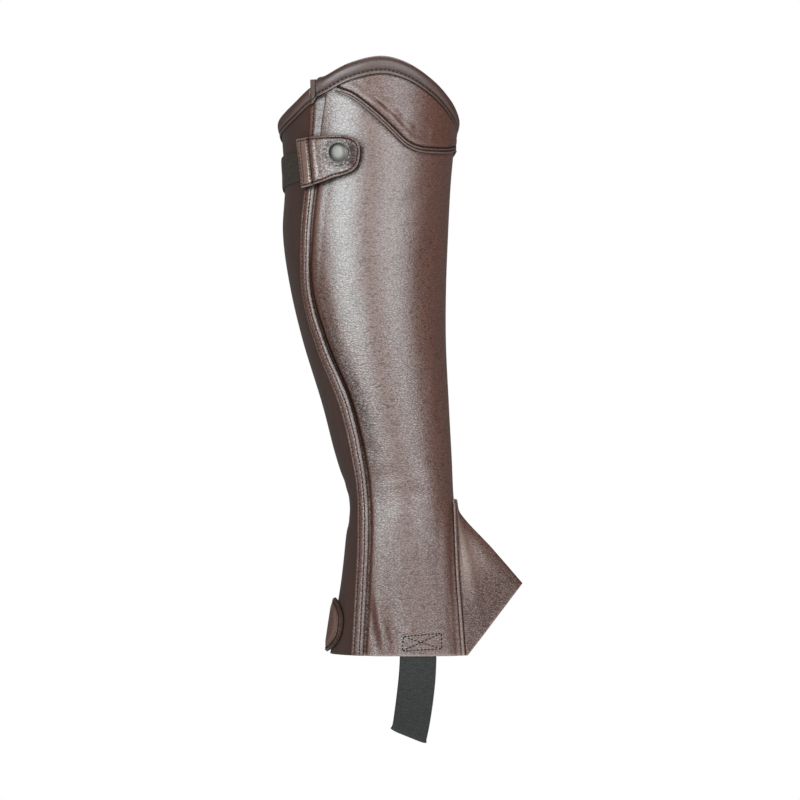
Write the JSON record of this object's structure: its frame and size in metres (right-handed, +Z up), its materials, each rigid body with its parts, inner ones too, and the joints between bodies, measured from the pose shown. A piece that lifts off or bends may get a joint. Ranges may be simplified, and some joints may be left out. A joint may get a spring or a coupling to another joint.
{
  "type": "half chap",
  "caption": "Leather half chap for a rider's lower leg, filled out as worn, with a stretch panel and zip, a snap tab, an instep spat and an elastic foot strap.",
  "frame": {"origin": "middle of the wearer's calf, 312 mm above the hem", "axes": "+Z up the leg, +X to the shin and toe, -Y to the outer side of the leg, which holds the zip and snap"},
  "size_m": [0.1807, 0.1224, 0.5042],
  "materials": {
    "brown_leather": "dark brown pebbled leather with a soft shine",
    "brown_stretch": "fine dark brown stretch cloth, matt",
    "black_elastic": "woven black elastic with fine cross ribs",
    "zip_tape": "woven dark brown tape",
    "zip_teeth": "dark brown nylon coil",
    "snap_metal": "satin gunmetal snap"
  },
  "bodies": {
    "root": {"leg_panel": "brown_leather", "stretch_panel": "brown_stretch", "zip_tape": "zip_tape", "zip_teeth": "zip_teeth", "zip_guard": "brown_leather", "top_binding": "brown_leather", "binding_end": "brown_leather", "front_yoke": "brown_leather", "yoke_piping": "brown_leather", "snap_tab": "brown_leather", "snap_cap": "snap_metal", "snap_socket": "snap_metal", "tab_elastic": "black_elastic", "heel_patch": "brown_leather", "front_spat": "brown_leather", "foot_strap": "black_elastic"}
  },
  "joints": []
}
